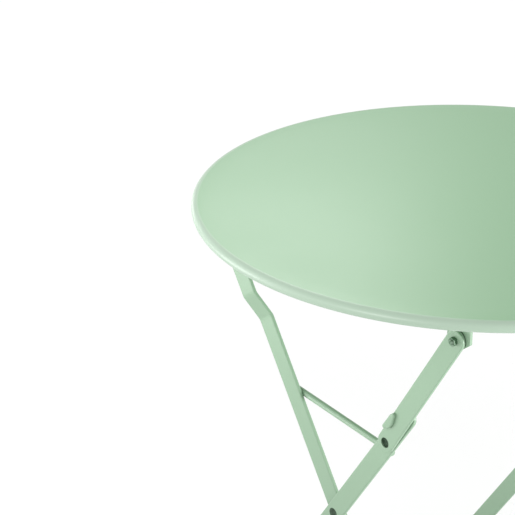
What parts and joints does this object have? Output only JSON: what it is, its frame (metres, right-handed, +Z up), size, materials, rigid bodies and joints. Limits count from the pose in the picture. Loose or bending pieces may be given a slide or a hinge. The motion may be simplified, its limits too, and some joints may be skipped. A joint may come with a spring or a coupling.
{
  "type": "folding bistro table",
  "caption": "Round folding bistro table in painted steel: rolled-rim top, crossed flat-bar legs, knee links and hooked stay rods.",
  "frame": {"origin": "on the floor, under the middle of the round top", "axes": "+Z up; X along the hinge pins, +X to the right leg pair; +Y towards the side where the top hinges on the main legs"},
  "size_m": [0.6, 0.6, 0.71],
  "materials": {
    "top_paint": "satin mint green powder coat",
    "frame_paint": "satin mint green powder coat",
    "fastener_paint": "zinc-plated steel tinted green to match the frame",
    "rivet_steel": "dark green blackened steel",
    "washer_steel": "zinc-plated",
    "foot_plastic": "moulded, fine matt grain"
  },
  "bodies": {
    "main_frame": {"main_leg_left": "frame_paint", "main_leg_right": "frame_paint", "main_top_bar": "frame_paint", "main_low_bar": "frame_paint", "main_foot_left": "foot_plastic", "main_foot_right": "foot_plastic", "stay_studs": "frame_paint"},
    "top": {"tabletop": "top_paint", "hinge_bracket_left": "frame_paint", "hinge_bracket_right": "frame_paint", "link_bracket_left": "frame_paint", "link_bracket_right": "frame_paint", "cross_strip_hinge_side": "frame_paint", "cross_strip_link_side": "frame_paint", "side_strip_left": "frame_paint", "side_strip_right": "frame_paint", "hinge_bolts": "fastener_paint", "hinge_nuts": "fastener_paint", "hinge_washers": "washer_steel", "link_bolts": "fastener_paint", "link_nuts": "fastener_paint", "link_washers": "washer_steel"},
    "swing_frame": {"swing_leg_left": "frame_paint", "swing_leg_right": "frame_paint", "swing_low_bar": "frame_paint", "swing_foot_left": "foot_plastic", "swing_foot_right": "foot_plastic", "cross_pins": "rivet_steel", "cross_washers": "washer_steel", "knee_pins": "rivet_steel", "knee_washers": "washer_steel", "stay_rivets": "frame_paint", "stay_spacers": "washer_steel"},
    "left_link": {"knee_link_left": "frame_paint", "knee_eyelet_left": "rivet_steel"},
    "right_link": {"knee_link_right": "frame_paint", "knee_eyelet_right": "rivet_steel"},
    "left_stay": {"stay_rod_left": "frame_paint"},
    "right_stay": {"stay_rod_right": "frame_paint"}
  },
  "joints": [
    {"name": "top_fold", "type": "hinge", "parent": "main_frame", "child": "top", "pos_m": [0, 0.186, 0.67], "axis": [1, 0, 0], "range_deg": [0, 50]},
    {"name": "leg_fold", "type": "hinge", "parent": "main_frame", "child": "swing_frame", "pos_m": [0, 0.00283, 0.39851], "axis": [1, 0, 0], "range_deg": [-59.74, 0]},
    {"name": "left_link_fold", "type": "hinge", "parent": "top", "child": "left_link", "pos_m": [0, -0.1702, 0.67], "axis": [1, 0, 0], "range_deg": [0, 59.37]},
    {"name": "right_link_fold", "type": "hinge", "parent": "top", "child": "right_link", "pos_m": [0, -0.1702, 0.67], "axis": [1, 0, 0], "range_deg": [0, 59.37]},
    {"name": "left_stay_lift", "type": "hinge", "parent": "swing_frame", "child": "left_stay", "pos_m": [0, -0.06602, 0.50176], "axis": [1, 0, 0], "range_deg": [0, 118.03]},
    {"name": "right_stay_lift", "type": "hinge", "parent": "swing_frame", "child": "right_stay", "pos_m": [0, -0.06602, 0.50176], "axis": [1, 0, 0], "range_deg": [0, 118.03]}
  ],
  "couplings": [
    {"joint": "leg_fold", "follows": "top_fold", "ratio": -1.1907},
    {"joint": "left_link_fold", "follows": "top_fold", "ratio": 1.1834},
    {"joint": "left_stay_lift", "follows": "top_fold", "ratio": 2.3547},
    {"joint": "right_link_fold", "follows": "top_fold", "ratio": 1.1834},
    {"joint": "right_stay_lift", "follows": "top_fold", "ratio": 2.3547}
  ]
}
